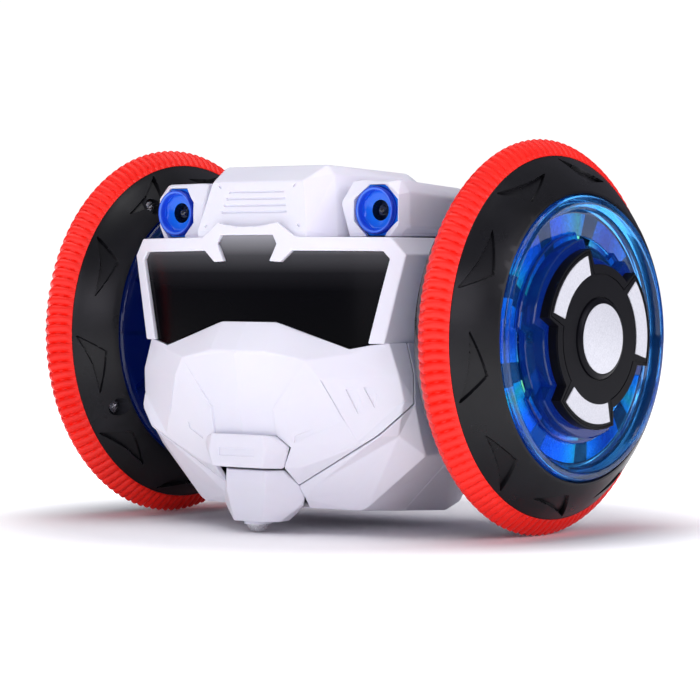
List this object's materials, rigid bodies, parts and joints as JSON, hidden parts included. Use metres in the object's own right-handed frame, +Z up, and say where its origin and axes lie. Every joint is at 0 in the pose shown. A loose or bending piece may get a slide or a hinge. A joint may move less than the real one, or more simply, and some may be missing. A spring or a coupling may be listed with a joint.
{
  "type": "two wheel robot car",
  "caption": "Two-wheeled stunt robot car: helmeted white body slung between large domed wheels with ribbed rubber rings and a small ball foot.",
  "frame": {"origin": "on the ground, midway between the wheels, straight under the axle", "axes": "+X along the axle towards the robot's left-hand wheel, -Y the way the robot faces, +Z up"},
  "size_m": [0.3084, 0.19, 0.19],
  "materials": {
    "white_shell": "satin moulded ABS",
    "visor_black": "polished, grey towards the top",
    "steel": "bright turned steel",
    "chassis_plastic": "moulded, fine grain",
    "switch_black": "moulded",
    "cell_wrap": "shrink wrap over steel cans",
    "contact_brass": "bright",
    "board_green": "solder mask",
    "blue_clear": "transparent blue polycarbonate",
    "led_clear": "clear resin",
    "motor_can": "plated can",
    "gear_nylon": "natural nylon",
    "red_rubber": "matte moulded rubber",
    "black_shell": "satin moulded ABS",
    "glitter_foil": "diffracting foil",
    "silver_foil": "satin silver sticker"
  },
  "bodies": {
    "robot_body": {"head_shell": "white_shell", "visor_frame": "white_shell", "visor": "visor_black", "face_mask": "white_shell", "mouthpiece": "white_shell", "lower_shell": "white_shell", "chin_flap": "white_shell", "ball_retainer": "white_shell", "rear_shell": "white_shell", "battery_door": "white_shell", "door_screw": "steel", "body_screws": "steel", "chassis": "chassis_plastic", "battery_cells": "cell_wrap", "battery_contacts": "contact_brass", "circuit_board": "board_green", "speaker": "chassis_plastic", "lens_right": "blue_clear", "lens_left": "blue_clear", "led_right": "led_clear", "led_left": "led_clear", "motor_right": "motor_can", "motor_left": "motor_can", "idler_pins": "steel", "axle_bushes": "contact_brass"},
    "wheel_right": {"axle_right": "steel", "output_gear_right": "gear_nylon", "tread_ring_right": "red_rubber", "outer_dome_right": "black_shell", "inner_dome_right": "black_shell", "outer_cap_right": "blue_clear", "inner_cap_right": "blue_clear", "glitter_disc_right": "glitter_foil", "hub_badge_right": "black_shell", "silver_inlays_right": "silver_foil", "wheel_screws_right": "steel"},
    "wheel_left": {"axle_left": "steel", "output_gear_left": "gear_nylon", "tread_ring_left": "red_rubber", "outer_dome_left": "black_shell", "inner_dome_left": "black_shell", "outer_cap_left": "blue_clear", "inner_cap_left": "blue_clear", "glitter_disc_left": "glitter_foil", "hub_badge_left": "black_shell", "silver_inlays_left": "silver_foil", "wheel_screws_left": "steel"},
    "idler_right": {"idler_gear_right": "gear_nylon"},
    "idler_left": {"idler_gear_left": "gear_nylon"},
    "pinion_right": {"pinion_right": "gear_nylon"},
    "pinion_left": {"pinion_left": "gear_nylon"},
    "foot": {"foot_ball": "steel"},
    "switch": {"power_switch": "switch_black"}
  },
  "joints": [
    {"name": "wheel_spin_right", "type": "hinge", "parent": "robot_body", "child": "wheel_right", "pos_m": [0.1184, 0, 0.095], "axis": [1, 0, 0], "continuous": true},
    {"name": "idler_spin_right", "type": "hinge", "parent": "robot_body", "child": "idler_right", "pos_m": [0.056, -0.01543, 0.07661], "axis": [1, 0, 0], "continuous": true},
    {"name": "motor_spin_right", "type": "hinge", "parent": "robot_body", "child": "pinion_right", "pos_m": [0.0544, -0.0334, 0.06785], "axis": [1, 0, 0], "continuous": true},
    {"name": "wheel_spin_left", "type": "hinge", "parent": "robot_body", "child": "wheel_left", "pos_m": [-0.1184, 0, 0.095], "axis": [1, 0, 0], "continuous": true},
    {"name": "idler_spin_left", "type": "hinge", "parent": "robot_body", "child": "idler_left", "pos_m": [-0.056, -0.01543, 0.07661], "axis": [1, 0, 0], "continuous": true},
    {"name": "motor_spin_left", "type": "hinge", "parent": "robot_body", "child": "pinion_left", "pos_m": [-0.0544, -0.0334, 0.06785], "axis": [1, 0, 0], "continuous": true},
    {"name": "foot_roll", "type": "hinge", "parent": "robot_body", "child": "foot", "pos_m": [0, -0.071, 0.006], "axis": [1, 0, 0], "continuous": true},
    {"name": "switch_slide", "type": "slide", "parent": "robot_body", "child": "switch", "axis": [1, 0, 0], "range_m": [0, 0.004]}
  ],
  "couplings": [
    {"joint": "idler_spin_right", "follows": "wheel_spin_right", "ratio": -4},
    {"joint": "motor_spin_right", "follows": "wheel_spin_right", "ratio": 16},
    {"joint": "idler_spin_left", "follows": "wheel_spin_left", "ratio": -4},
    {"joint": "motor_spin_left", "follows": "wheel_spin_left", "ratio": 16}
  ]
}
